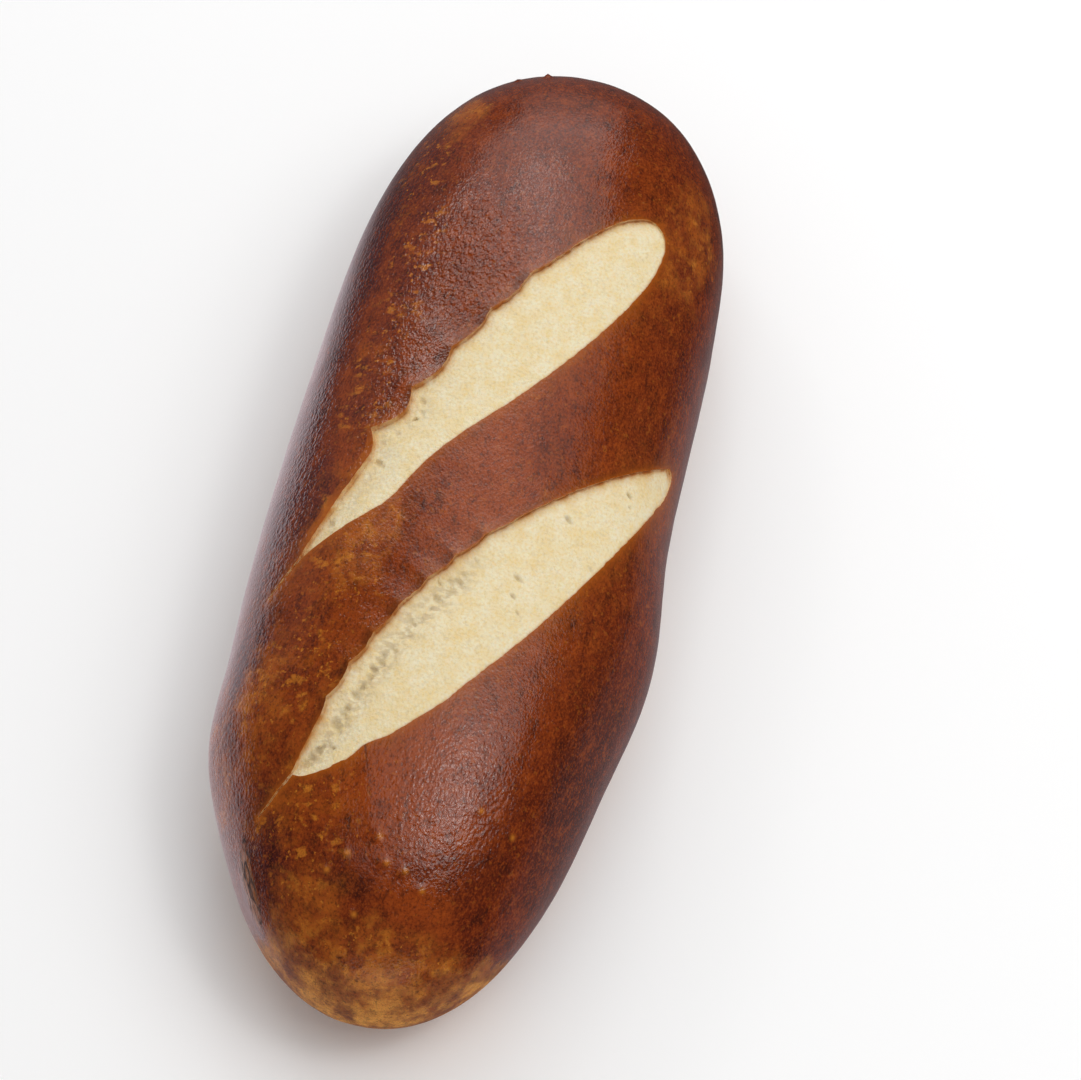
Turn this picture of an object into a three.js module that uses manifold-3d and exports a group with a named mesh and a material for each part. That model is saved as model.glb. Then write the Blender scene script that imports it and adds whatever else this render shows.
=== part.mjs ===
// A pretzel sub roll: one baked log of dough, flat underneath, with two slashes across its top that
// opened in the oven. Millimetres, +Z up. X runs along the roll, with its narrower end at +X, and the
// sole rests on z = 0, centred on the origin.

import * as THREE from "three";
import { mergeVertices } from "three/addons/utils/BufferGeometryUtils.js";
import Module from "manifold-3d";

const wasm = await Module();
wasm.setup();

// Driving dimensions
const LENGTH = 190;
const WIDTH = 70; // of the plain log, before its sides swell
const HEIGHT = 49;
const WAIST_HEIGHT = 20.6; // the widest line of the middle section, above the sole
const SOLE_CUT = 3; // how much of the round underside is baked flat

// Form of the log
const NEAR_END_POWER = 2.9; // at +X; a higher power makes a blunter end
const FAR_END_POWER = 4.7; // at -X
const CROWN_POWER = 0.9; // how the crown falls with the width towards the ends
const TIP_DROP = 0.1; // share of the waist's height that it loses at the tips
const UPPER_SQUARENESS = 2.15; // 2 is an ellipse
const LOWER_SQUARENESS = 2.5;
const TAPER = 0.025; // share by which the +X half is wider and the -X half narrower
const BOW = 2.25; // sideways bow of the centreline
const BEND = 1.5; // sideways S-bend of the centreline
const SWELLINGS = [
  { x: 54, side: -1, reach: 12.5, growth: 2 },
  { x: 21, side: 1, reach: 19, growth: 2.9 },
  { x: -65, side: 1, reach: 9, growth: 0.5 },
];

// The two slashes in plan, each from its blunt tip to its drawn-out tail. The ear is the edge that
// lifted and tore, and the foot is the smooth edge opposite. Reach is the most that an edge lies from
// the straight line between tip and tail.
const SLASHES = [
  {
    tip: new THREE.Vector2(-56, 21),
    tail: new THREE.Vector2(23.6, -24.9),
    ear: { reach: 6.2, rise: 0.5, fall: 0.95 },
    foot: { reach: 8.8, rise: 0.5, fall: 1 },
    teeth: { first: 25.6, pitch: 10.3, count: 5, depth: 1, growth: 0.45 },
  },
  {
    tip: new THREE.Vector2(-14, 32.6),
    tail: new THREE.Vector2(63.1, -16.4),
    ear: { reach: 6.9, rise: 1.3, fall: 0.95 },
    foot: { reach: 10.6, rise: 0.75, fall: 0.6 },
    teeth: { first: 45, pitch: 8.8, count: 5, depth: 0.5, growth: 0.2 },
  },
];
const TOOTH_RUN = 8; // length over which a torn tooth of the ear grows
const TOOTH_BACK = 2.2; // length over which it steps back
const CRACK_LENGTH = 8; // hairline crack that runs on from each tail
const CRACK_HALF_WIDTH = 0.5;
const CRACK_DEPTH = 0.7;

// Relief across a slash
const LIP_HEIGHT = 1.1; // how far the crust lifts at the ear
const LIP_REACH = 5;
const GROOVE_DEPTH = 2.8; // torn groove beneath the ear
const GROOVE_PLACE = 0.2; // its share of the way from ear to foot
const GROOVE_SPREAD = 0.2;
const FOOT_DEPTH = 0.6; // step from the crust down to the crumb at the foot
const FULL_DEPTH_WIDTH = 9; // a slash narrower than this is shallower
const CUT_CLEARANCE = 6; // how far a slash's cutter stands out of the crust

// Faceting
const SEGMENTS_AROUND = 52;
const SEGMENTS_ALONG = 58;
const CROWN_CROWDING = 0.35; // how strongly facets crowd towards the crown
const SLASH_STEPS_ALONG = 52;
const SLASH_STEPS_ACROSS = 6;
const FINEST_DETAIL = 0.06; // edges shorter than this may close up where solids are cut
const WELD = 1e-4; // corners closer than this are one
const HALVINGS = 40; // of the angle, when a point of the plan is looked up on the log
const SHORT_STEP = 1e-3; // of place and angle, when the log's outward direction is worked out
const CRUST_COLOUR = 0x6e3317;

// Half width of the log, as a share of the middle's, at a place from -1 (far tip) to 1 (near tip).
function fullness(place) {
  const power = place > 0 ? NEAR_END_POWER : FAR_END_POWER;
  return Math.sqrt(Math.max(0, 1 - Math.abs(place) ** power));
}

// Sideways offset of the centreline. A third and three fifths leave the roll as a whole unmoved and
// unturned by its bow and its bend.
function centreline(place) {
  return BOW * (place ** 2 - 1 / 3) + BEND * (place ** 3 - (3 / 5) * place);
}

// A point of the plain log. The angle runs round the section from +Y (0) over the crown (half pi).
function logPoint(place, angle) {
  const x = (place * LENGTH) / 2;
  const full = fullness(place);
  const crown = full ** CROWN_POWER;
  const [across, up] = [Math.cos(angle), Math.sin(angle)];
  const power = up > 0 ? UPPER_SQUARENESS : LOWER_SQUARENESS;
  const radius = (Math.abs(across) ** power + Math.abs(up) ** power) ** (-1 / power);
  let y = centreline(place) + (WIDTH / 2) * (1 + TAPER * place) * full * radius * across;
  for (const { x: middle, side, reach, growth } of SWELLINGS) {
    const facing = Math.max(0, side * radius * across);
    y += side * growth * Math.exp(-(((x - middle) / reach) ** 2)) * facing ** 2;
  }
  const waist = WAIST_HEIGHT * (1 - TIP_DROP * (1 - crown));
  const tall = up > 0 ? HEIGHT - WAIST_HEIGHT : WAIST_HEIGHT + SOLE_CUT;
  return new THREE.Vector3(x, y, Math.max(0, waist + radius * up * crown * tall));
}

// The log's outward direction at a place and angle, from two short steps along its surface.
function logNormal(place, angle) {
  const along = logPoint(place + SHORT_STEP, angle).sub(logPoint(place - SHORT_STEP, angle));
  const around = logPoint(place, angle + SHORT_STEP).sub(logPoint(place, angle - SHORT_STEP));
  return around.cross(along).normalize();
}

// The angle on the upper half of the log at which its surface stands over a point of the plan.
function angleOver(place, y) {
  let [low, high] = [0, Math.PI];
  for (let halving = 0; halving < HALVINGS; halving++) {
    const middle = (low + high) / 2;
    if (logPoint(place, middle).y > y) low = middle;
    else high = middle;
  }
  return (low + high) / 2;
}

// Share of a slash edge's reach, from 0 at the tip through 1 at its widest to 0 at the tail.
function lens(share, { rise, fall }) {
  if (share <= 0 || share >= 1) return 0;
  const widest = rise / (rise + fall);
  return (share ** rise * (1 - share) ** fall) / (widest ** rise * (1 - widest) ** fall);
}

// How far the teeth of a torn ear reach past its smooth line.
function tear({ first, pitch, count, depth, growth }, along) {
  let most = 0;
  for (let tooth = 0; tooth < count; tooth++) {
    const past = along - (first + tooth * pitch);
    const share = past < 0 ? 1 + past / TOOTH_RUN : 1 - past / TOOTH_BACK;
    most = Math.max(most, share * (depth + growth * tooth));
  }
  return most;
}

const slashLength = ({ tip, tail }) => tip.distanceTo(tail);

// Half width of the hairline that a slash narrows to at its tip and runs out in past its tail.
function hairline(slash, along) {
  const past = Math.max(0, along - slashLength(slash)) / CRACK_LENGTH;
  return THREE.MathUtils.lerp(CRACK_HALF_WIDTH, CRACK_HALF_WIDTH / 2, past);
}

function earOffset(slash, along) {
  const share = along / slashLength(slash);
  const smooth = slash.ear.reach * lens(share, slash.ear);
  const torn = share > 0 && share < 1 ? tear(slash.teeth, along) : 0;
  return -(smooth + torn + hairline(slash, along));
}

function footOffset(slash, along) {
  return slash.foot.reach * lens(along / slashLength(slash), slash.foot) + hairline(slash, along);
}

// Directions in plan along a slash, from tip to tail, and across it, towards the foot.
function slashFrame(slash) {
  const along = slash.tail.clone().sub(slash.tip).normalize();
  return { along, across: new THREE.Vector2(-along.y, along.x) };
}

// Lift of the crust along the ears, at a point of the plan.
function lipLift(x, y) {
  let lift = 0;
  for (const slash of SLASHES) {
    const { along, across } = slashFrame(slash);
    const from = new THREE.Vector2(x, y).sub(slash.tip);
    const run = from.dot(along);
    const beyond = Math.abs(earOffset(slash, run) - from.dot(across));
    const share = lens(run / slashLength(slash), slash.ear);
    lift += LIP_HEIGHT * Math.sqrt(share) * Math.exp(-beyond / LIP_REACH);
  }
  return lift;
}

// A point of the crust: the log with its ears lifted.
function crustPoint(place, angle) {
  const point = logPoint(place, angle);
  if (Math.sin(angle) <= 0 || fullness(place) === 0) return point;
  return point.addScaledVector(logNormal(place, angle), lipLift(point.x, point.y));
}

// A closed three.js geometry as a solid that can be joined and cut.
function solidOf(geometry) {
  const bare = new THREE.BufferGeometry();
  bare.setAttribute("position", geometry.getAttribute("position"));
  bare.setIndex(geometry.index);
  const merged = mergeVertices(bare, WELD);
  const triVerts = new Uint32Array(merged.index.array);
  const vertProperties = new Float32Array(merged.getAttribute("position").array);
  const tolerance = FINEST_DETAIL;
  return new wasm.Manifold(new wasm.Mesh({ numProp: 3, vertProperties, triVerts, tolerance }));
}

function geometryOf(solid) {
  const { vertProperties, triVerts } = solid.getMesh();
  const geometry = new THREE.BufferGeometry();
  geometry.setAttribute("position", new THREE.BufferAttribute(vertProperties, 3));
  geometry.setIndex(new THREE.BufferAttribute(triVerts, 1));
  return geometry;
}

// Moves every vertex of a geometry by a rule from its old place to its new one.
function reshape(geometry, rule) {
  const positions = geometry.getAttribute("position");
  const vertex = new THREE.Vector3();
  for (let i = 0; i < positions.count; i++) {
    vertex.fromBufferAttribute(positions, i);
    positions.setXYZ(i, ...rule(vertex.clone()).toArray());
  }
  return geometry;
}

// The whole log, shaped from a sphere whose poles become the two tips.
function logGeometry() {
  const sphere = new THREE.SphereGeometry(1, SEGMENTS_AROUND, SEGMENTS_ALONG).rotateZ(-Math.PI / 2);
  return reshape(sphere, ({ x, y, z }) => {
    const turn = Math.atan2(z, y);
    const place = THREE.MathUtils.clamp(x, -1, 1);
    return crustPoint(place, turn + CROWN_CROWDING * Math.cos(turn));
  });
}

// Depth of the crumb under the log's surface, at a share of the way from ear to foot.
function crumbDepth(width, share) {
  const groove = Math.exp(-(((share - GROOVE_PLACE) / GROOVE_SPREAD) ** 2));
  const full = FOOT_DEPTH + (GROOVE_DEPTH - FOOT_DEPTH) * groove;
  const open = Math.min(1, width / FULL_DEPTH_WIDTH);
  return THREE.MathUtils.lerp(CRACK_DEPTH, full, open);
}

// What a slash takes out of the log, shaped from a box: its floor is the crumb, its top stands clear.
function slashGeometry(slash) {
  const { along, across } = slashFrame(slash);
  const reach = slashLength(slash) + CRACK_LENGTH;
  const box = new THREE.BoxGeometry(1, 1, 1, SLASH_STEPS_ALONG, SLASH_STEPS_ACROSS, 1);
  return reshape(box, ({ x, y, z }) => {
    const run = (x + 0.5) * reach;
    const [ear, foot] = [earOffset(slash, run), footOffset(slash, run)];
    const offset = THREE.MathUtils.lerp(ear, foot, y + 0.5);
    const plan = slash.tip.clone().addScaledVector(along, run).addScaledVector(across, offset);
    const place = (2 * plan.x) / LENGTH;
    const angle = angleOver(place, plan.y);
    const height = z > 0 ? CUT_CLEARANCE : -crumbDepth(foot - ear, y + 0.5);
    return logPoint(place, angle).addScaledVector(logNormal(place, angle), height);
  });
}

function rollGeometry() {
  let solid = solidOf(logGeometry());
  for (const slash of SLASHES) solid = solid.subtract(solidOf(slashGeometry(slash)));
  const geometry = geometryOf(solid);
  geometry.computeBoundingBox();
  const { min, max } = geometry.boundingBox;
  return geometry.translate(-(min.x + max.x) / 2, -(min.y + max.y) / 2, -min.z);
}

const crust = new THREE.MeshStandardMaterial({ color: CRUST_COLOUR, roughness: 0.45, metalness: 0 });
const roll = new THREE.Mesh(rollGeometry(), crust);
roll.name = "roll";

const part = new THREE.Group();
part.add(roll);

export default part;
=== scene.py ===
import math

import bpy
from mathutils import Matrix, Vector


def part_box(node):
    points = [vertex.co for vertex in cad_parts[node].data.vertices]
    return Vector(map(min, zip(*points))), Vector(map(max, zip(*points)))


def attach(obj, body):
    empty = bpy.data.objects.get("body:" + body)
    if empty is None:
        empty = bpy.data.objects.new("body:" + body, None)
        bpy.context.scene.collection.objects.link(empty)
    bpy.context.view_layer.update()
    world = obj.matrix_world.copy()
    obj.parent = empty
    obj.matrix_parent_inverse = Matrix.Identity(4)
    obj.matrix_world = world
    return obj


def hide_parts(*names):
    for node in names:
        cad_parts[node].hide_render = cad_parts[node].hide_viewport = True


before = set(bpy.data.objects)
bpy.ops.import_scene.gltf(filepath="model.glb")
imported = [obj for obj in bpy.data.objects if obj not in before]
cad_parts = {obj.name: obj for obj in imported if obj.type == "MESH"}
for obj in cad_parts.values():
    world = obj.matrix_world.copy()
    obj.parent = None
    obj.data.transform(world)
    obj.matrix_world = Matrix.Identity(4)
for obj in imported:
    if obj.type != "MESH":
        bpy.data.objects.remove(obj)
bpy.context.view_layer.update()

# The log
# A baker rolls one piece of dough into a log and sets it on a baking sheet, so its section is nearly
# round above and flat below. Its ends, bow and swellings are as uneven as hand shaping leaves them.
MM = 0.001
lowest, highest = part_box("roll")
LOG_SIZES = {
    "Length": highest.x - lowest.x,
    "Width": 70 * MM,
    "Height": 49 * MM,
    "Waist height": 20.6 * MM,
    "Sole cut": 3 * MM,
    "Bow": 2.25 * MM,
    "Bend": 1.5 * MM,
    "Dent size": 26 * MM,
    "Dent depth": 0.5 * MM,
    "Wrinkle size": 5 * MM,
    "Wrinkle depth": 0.16 * MM,
}
DENT_SEED = 3
WRINKLE_SEED = 4
NEAR_END_POWER = 2.9  # at +X; a higher power makes a blunter end
FAR_END_POWER = 4.7
CROWN_POWER = 0.9  # below 1, the crown stays high further towards the tips than the sides stay wide
TIP_DROP = 0.1  # share of its height that the widest line loses at the tips
UPPER_SQUARENESS = 2.15
LOWER_SQUARENESS = 2.5
TAPER = 0.025  # share by which the near end is wider, and the far end narrower
SWELLINGS = (  # place along the roll, side, reach and growth
    (54 * MM, -1, 12.5 * MM, 2 * MM),
    (21 * MM, 1, 19 * MM, 2.9 * MM),
    (-65 * MM, 1, 9 * MM, 0.5 * MM),
)
PIMPLES = (  # places, in millimetres
    (71.4, 0.3, 42.1),
    (75.2, 2.3, 40.6),
    (75.8, 5.6, 40.1),
    (77.9, 8.9, 38.4),
    (62.8, 15.5, 41.3),
    (74.8, -4.5, 40.6),
    (77.8, -7.3, 38.8),
    (83.7, -1.3, 36.4),
    (64.5, 21.2, 37.1),
)
PIMPLE_RADIUS = 0.75 * MM
PIMPLE_HEIGHT = 0.3 * MM
NUBS = ((-86.2, -11.5, 35.6), (-87.8, -6.2, 35.9))  # places, in millimetres
NUB_RADIUS = 0.6 * MM
NUB_HEIGHT = 0.9 * MM
BLISTER = (79.5, -20.6, 28.4)  # middle of a long blister in the skin, in millimetres
BLISTER_LENGTH = 8.5 * MM
BLISTER_WIDTH = 2.1 * MM
BLISTER_REACH = (16 * MM, 16 * MM, 16 * MM)
BLISTER_HEIGHT = 0.35 * MM
PUCKER = 2  # how strongly the blister's top is puckered
PUCKER_SIZE = 2.2 * MM
PUCKER_SEED = 6
BLISTER_RUN = Vector((0.83, 0.44, -0.34))  # the way it runs
BLISTER_ACROSS = Vector((0.1, 0.59, 0.8))
FOLD_START = Vector((57.4, -5.6, 0)) * MM  # a fold in the skin, from the foot of a slash to the end
FOLD_END = Vector((77, 1.5, 0)) * MM
FOLD_EASE = 5 * MM
FOLD_SLOPE = 0.16
FOLD_REACH = 5 * MM
ROWS_ALONG = 324
ROWS_AROUND = 208
CROWN_CROWDING = 0.45  # how strongly the rows crowd towards the crown
TIP_CROWDING = 8  # a higher power keeps the crowding of rows closer to the tips
TIP_MARGIN = 1e-6  # so that rounding leaves no tip open
WELD = 1e-6


class Term:
    """A number in a node tree, so that a rule of shape or colour reads as arithmetic."""

    def __init__(self, socket):
        self.socket = socket

    def __add__(self, other):
        return calculate("ADD", self, other)

    def __radd__(self, other):
        return calculate("ADD", other, self)

    def __sub__(self, other):
        return calculate("SUBTRACT", self, other)

    def __rsub__(self, other):
        return calculate("SUBTRACT", other, self)

    def __mul__(self, other):
        return calculate("MULTIPLY", self, other)

    def __rmul__(self, other):
        return calculate("MULTIPLY", other, self)

    def __truediv__(self, other):
        return calculate("DIVIDE", self, other)

    def __rtruediv__(self, other):
        return calculate("DIVIDE", other, self)

    def __pow__(self, other):
        return calculate("POWER", self, other)

    def __neg__(self):
        return calculate("MULTIPLY", self, -1)

    def __abs__(self):
        return calculate("ABSOLUTE", self)

    def __gt__(self, other):
        return calculate("GREATER_THAN", self, other)

    def __lt__(self, other):
        return calculate("LESS_THAN", self, other)


def feed(socket, term):
    """Links a node's input to a term, or sets it to a plain value."""
    if isinstance(term, Term):
        socket.id_data.links.new(term.socket, socket)
    else:
        socket.default_value = term


def calculate(operation, *terms):
    tree = next(term for term in terms if isinstance(term, Term)).socket.id_data
    node = tree.nodes.new("ShaderNodeMath")
    node.operation = operation
    for socket, term in zip(node.inputs, terms):
        feed(socket, term)
    return Term(node.outputs["Value"])


def put(tree, kind, inputs=None, **settings):
    """A new node with its settings made and its inputs fed."""
    node = tree.nodes.new(kind)
    for name, value in settings.items():
        setattr(node, name, value)
    for name, term in (inputs or {}).items():
        feed(node.inputs[name], term)
    return node


def out(node, name):
    return Term(node.outputs[name])


def lower_of(one, other):
    return calculate("MINIMUM", one, other)


def higher_of(one, other):
    return calculate("MAXIMUM", one, other)


def clamp(term):
    return lower_of(higher_of(term, 0), 1)


def bell(term):
    """1 where the term is 0, falling away smoothly on both sides."""
    return calculate("EXPONENT", -(term * term))


def fade(distance, reach):
    return calculate("EXPONENT", -(abs(distance) / reach))


def ease(term, start, end):
    """Eases from 0 where the term is at start to 1 where it is at end."""
    inputs = {"Value": term, "From Min": start, "From Max": end}
    node = put(term.socket.id_data, "ShaderNodeMapRange", inputs, interpolation_type="SMOOTHSTEP")
    return out(node, "Result")


def between(share, start, end):
    return start + (end - start) * share


def parts(vector):
    node = put(vector.socket.id_data, "ShaderNodeSeparateXYZ", {"Vector": vector})
    return out(node, "X"), out(node, "Y"), out(node, "Z")


def vector(x, y, z):
    tree = next(term for term in (x, y, z) if isinstance(term, Term)).socket.id_data
    return out(put(tree, "ShaderNodeCombineXYZ", {"X": x, "Y": y, "Z": z}), "Vector")


def scaled(vector, amount):
    inputs = {0: vector, "Scale": amount}
    node = put(vector.socket.id_data, "ShaderNodeVectorMath", inputs, operation="SCALE")
    return out(node, "Vector")


def position(tree):
    return out(put(tree, "GeometryNodeInputPosition"), "Position")


def keep(geometry, name, value):
    """The geometry with a value stored at each of its points under the given name."""
    inputs = {"Geometry": geometry, "Name": name, "Value": value}
    node = put(geometry.socket.id_data, "GeometryNodeStoreNamedAttribute", inputs)
    return out(node, "Geometry")


def on_vectors(operation, one, other, result="Vector"):
    tree = one.socket.id_data
    return out(put(tree, "ShaderNodeVectorMath", {0: one, 1: other}, operation=operation), result)


def near(here, middle, reach):
    """1 at the middle of a place, falling away smoothly over its reach."""
    away = on_vectors("DIVIDE", on_vectors("SUBTRACT", here, middle), reach)
    return bell(on_vectors("LENGTH", away, away, "Value"))


def in_metres(millimetres):
    return tuple(part * MM for part in millimetres)


def noise(tree, where, size, seed, detail=2, ragged=0.5):
    """Smooth noise around 0, mostly between -0.5 and 0.5, with features of about the given size."""
    inputs = {"Vector": where, "W": seed, "Scale": 1 / size, "Detail": detail, "Roughness": ragged}
    return out(put(tree, "ShaderNodeTexNoise", inputs, noise_dimensions="4D"), "Fac") - 0.5


def blister(here):
    """1 on the long blister, falling away smoothly around it."""
    from_middle = on_vectors("SUBTRACT", here, in_metres(BLISTER))
    run = on_vectors("DOT_PRODUCT", from_middle, BLISTER_RUN, "Value") / BLISTER_LENGTH
    beside = on_vectors("DOT_PRODUCT", from_middle, BLISTER_ACROSS, "Value") / BLISTER_WIDTH
    return bell(run) * bell(beside) * near(here, in_metres(BLISTER), BLISTER_REACH)


def past_fold(here):
    """Distance across the roll from the fold's line."""
    x, y, _ = parts(here)
    run = FOLD_END - FOLD_START
    return FOLD_START.y + (x - FOLD_START.x) * (run.y / run.x) - y


def fold(here):
    """How far the skin drops away beside the fold, in a band that follows it."""
    x, _, _ = parts(here)
    beside = higher_of(past_fold(here), 0)
    band = ease(x, FOLD_START.x, FOLD_START.x + FOLD_EASE) * ease(x, FOLD_END.x, FOLD_END.x - FOLD_EASE)
    return FOLD_SLOPE * beside * fade(beside, FOLD_REACH) * band


def log_point(size, place, angle):
    """A point of the plain log, its place from -1 to 1 and its angle from +Y over the crown.

    The bow leaves the log centred over its whole length, and the bend leaves it unturned.
    """
    power = between(place < 0, NEAR_END_POWER, FAR_END_POWER)
    full = higher_of(1 - abs(place) ** power, 0) ** 0.5
    crown = full**CROWN_POWER
    across = calculate("COSINE", angle)
    up = calculate("SINE", angle)
    upper = up > 0
    squareness = between(upper, LOWER_SQUARENESS, UPPER_SQUARENESS)
    radius = (abs(across) ** squareness + abs(up) ** squareness) ** (-1 / squareness)
    x = place * size["Length"] / 2
    bow = size["Bow"] * (place * place - 1 / 3)
    bend = size["Bend"] * place * (place * place - 3 / 5)
    y = bow + bend + size["Width"] / 2 * (1 + TAPER * place) * full * radius * across
    for middle, side, reach, growth in SWELLINGS:
        facing = higher_of(side * radius * across, 0)
        y = y + side * growth * bell((x - middle) / reach) * facing * facing
    waist = size["Waist height"] * (1 - TIP_DROP * (1 - crown))
    below = size["Waist height"] + size["Sole cut"]
    tall = between(upper, below, size["Height"] - size["Waist height"])
    return vector(x, y, higher_of(waist + radius * up * crown * tall, 0))


def plain_log(tree, size):
    """The log as a closed mesh, shaped from a flat grid that is rolled up and drawn in at its ends."""
    rows = {"Size X": 2, "Size Y": 1, "Vertices X": ROWS_ALONG + 1, "Vertices Y": ROWS_AROUND + 1}
    grid = out(put(tree, "GeometryNodeMeshGrid", rows), "Mesh")
    along, around, _ = parts(position(tree))
    spread = ((TIP_CROWDING + 1) * along - along * abs(along) ** TIP_CROWDING) / TIP_CROWDING
    place = lower_of(higher_of(spread * (1 + TIP_MARGIN), -1), 1)
    turn = 2 * math.pi * around + math.pi / 2
    angle = turn + CROWN_CROWDING * calculate("COSINE", turn)
    rolled = {"Geometry": grid, "Position": log_point(size, place, angle)}
    shaped = out(put(tree, "GeometryNodeSetPosition", rolled), "Geometry")
    welded = put(tree, "GeometryNodeMergeByDistance", {"Geometry": shaped, "Distance": WELD})
    outward = put(tree, "GeometryNodeFlipFaces", {"Mesh": out(welded, "Geometry")})
    return out(outward, "Mesh")


def give_inputs(tree, sizes):
    """Named inputs for a tree, one for each size, as a dictionary of terms."""
    for title, size in sizes.items():
        kind = "NodeSocketVector" if isinstance(size, tuple) else "NodeSocketFloat"
        tree.interface.new_socket(title, in_out="INPUT", socket_type=kind)
    given = tree.nodes.new("NodeGroupInput")
    return {socket.name: Term(socket) for socket in given.outputs if socket.name}


# The slashes
# Before baking, the log is slashed twice on a slant with a blade. In the oven each slash opens: one edge
# lifts and tears into teeth, the ear, the other stays smooth, the foot, and soft crumb wells up between.
SLASHES = (
    {
        "Tip": (-56 * MM, 21 * MM, 0),
        "Tail": (23.6 * MM, -24.9 * MM, 0),
        "Ear reach": 6.2 * MM,
        "Ear rise": 0.5,
        "Ear fall": 1,
        "Foot reach": 8.8 * MM,
        "Foot rise": 0.5,
        "Foot fall": 1,
        "Pinch at": 59 * MM,
        "Pinch reach": 12 * MM,
        "Pinch": 1 * MM,
        "Bulge at": 76 * MM,
        "Bulge reach": 6.5 * MM,
        "Bulge": 1.5 * MM,
        "First tooth": 26 * MM,
        "Tooth pitch": 10.1 * MM,
        "Tooth count": 5,
        "Tooth depth": 0.9 * MM,
        "Last tooth": 2.2 * MM,
        "Web from": 46 * MM,
        "Web place": 2.4 * MM,
        "Web depth": 0.35 * MM,
        "Web share": 0.4,
        "Seed": 1,
    },
    {
        "Tip": (-14 * MM, 32.6 * MM, 0),
        "Tail": (63.1 * MM, -16.4 * MM, 0),
        "Ear reach": 6.9 * MM,
        "Ear rise": 1.6,
        "Ear fall": 1.15,
        "Foot reach": 10.6 * MM,
        "Foot rise": 0.75,
        "Foot fall": 0.6,
        "Pinch at": 80 * MM,
        "Pinch reach": 2.6 * MM,
        "Pinch": 0.8 * MM,
        "Bulge at": 66 * MM,
        "Bulge reach": 4 * MM,
        "Bulge": 0.3 * MM,
        "First tooth": 39 * MM,
        "Tooth pitch": 6.6 * MM,
        "Tooth count": 7,
        "Tooth depth": 0.5 * MM,
        "Last tooth": 0.3 * MM,
        "Web from": 38 * MM,
        "Web place": 3.6 * MM,
        "Web depth": 1.1 * MM,
        "Web share": 0.95,
        "Seed": 2,
    },
)
TOOTH_RISE = 0.58  # share of a tooth's pitch over which it grows, before it falls back
TOOTH_STEEP = (0.56, 0.64)  # where in the pitch the steep side starts and is full
TOOTH_POINT = 1.6  # above 1, the gaps between the crust's lobes are pointed and the lobes round
CRACK_LENGTH = 8 * MM  # hairline that runs on from each tail
CRACK_HALF_WIDTH = 0.25 * MM
CRACK_DEPTH = 0.35 * MM
FRAY_SIZE = 1.9 * MM
FRAY_DEPTH = 0.8 * MM
FRAY_DETAIL = 4
FRAY_RAGGED = 0.7
EAR_FRAY = 0.4  # share of the fray that is left at an ear's ends
FOOT_FRAY = 0.8
LIP_HEIGHT = 0.6 * MM
LIP_REACH = 4 * MM
LIP_BETWEEN_TEETH = 0.75
EAR_DEPTH = 0.5 * MM
EAR_REACH = 1.5 * MM
FOOT_DEPTH = 0.1 * MM
WEB_SPREAD = 1.4 * MM  # half the width of the row of open pores
WEB_LIMIT = 0.35  # farthest that row lies from the ear, as a share of the slash's width
WEB_EASE = 14 * MM
FOOT_ROW = 2.2 * MM  # a second row of pores, beside the foot near the tip
FOOT_ROW_SPREAD = 1.4 * MM
FOOT_ROW_RUN = (30 * MM, 16 * MM)
HOLLOW_SPREAD = 2.6 * MM
FULL_DEPTH_WIDTH = 6 * MM
CUT_CLEARANCE = 6 * MM
PORE_CELL = 1.5 * MM
PORE_DEPTH = 0.45 * MM
PORE_STRETCH = 2
PORE_RADII = (0.2, 0.45)  # least and greatest, as shares of a cell
PORE_WIDENING = 0.4  # how much wider the pores of the web are
PORE_FLOOR = 0.2  # share of a pore's radius that is as deep as it gets
PORE_MARGIN = 0.8 * MM
STRAY_PORES = 0.03  # share of the cells that hold a pore anywhere
FOOT_PORES = 0.4
CRUMB_GRAIN = 1.1 * MM
CRUMB_RELIEF = 0.24 * MM
SLASH_ROWS_ALONG = 350
SLASH_ROWS_ACROSS = 44
ABOVE_THE_ROLL = 0.2
SOLE_EDGE = 4 * MM
FARTHEST = 60 * MM  # as far from a slash as the crust keeps count
CRISP_ANGLE = math.radians(45)


def lens(share, rise, fall):
    """Share of an edge's reach: 0 at the tip, 1 where the slash is widest, 0 at the tail."""
    widest = rise / (rise + fall)
    inside = clamp(share)
    return inside**rise * (1 - inside) ** fall / (widest**rise * (1 - widest) ** fall)


def teeth(slash, along):
    """How far the tooth here has grown, from 0 to 1, the depth it grows to, and its steep side."""
    step = (along - slash["First tooth"]) / slash["Tooth pitch"] + TOOTH_RISE
    number = calculate("FLOOR", step)
    within = step - number
    grown = clamp(lower_of(within / TOOTH_RISE, (1 - within) / (1 - TOOTH_RISE))) ** TOOTH_POINT
    real = (number > -0.5) * (number < slash["Tooth count"] - 0.5)
    late = number / (slash["Tooth count"] - 1)
    steep = ease(within, *TOOTH_STEEP) * real
    return grown * real, slash["Tooth depth"] + slash["Last tooth"] * late * late * late, steep


def wave(slash, name, along):
    return slash[name] * bell((along - slash[name + " at"]) / slash[name + " reach"])


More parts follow.
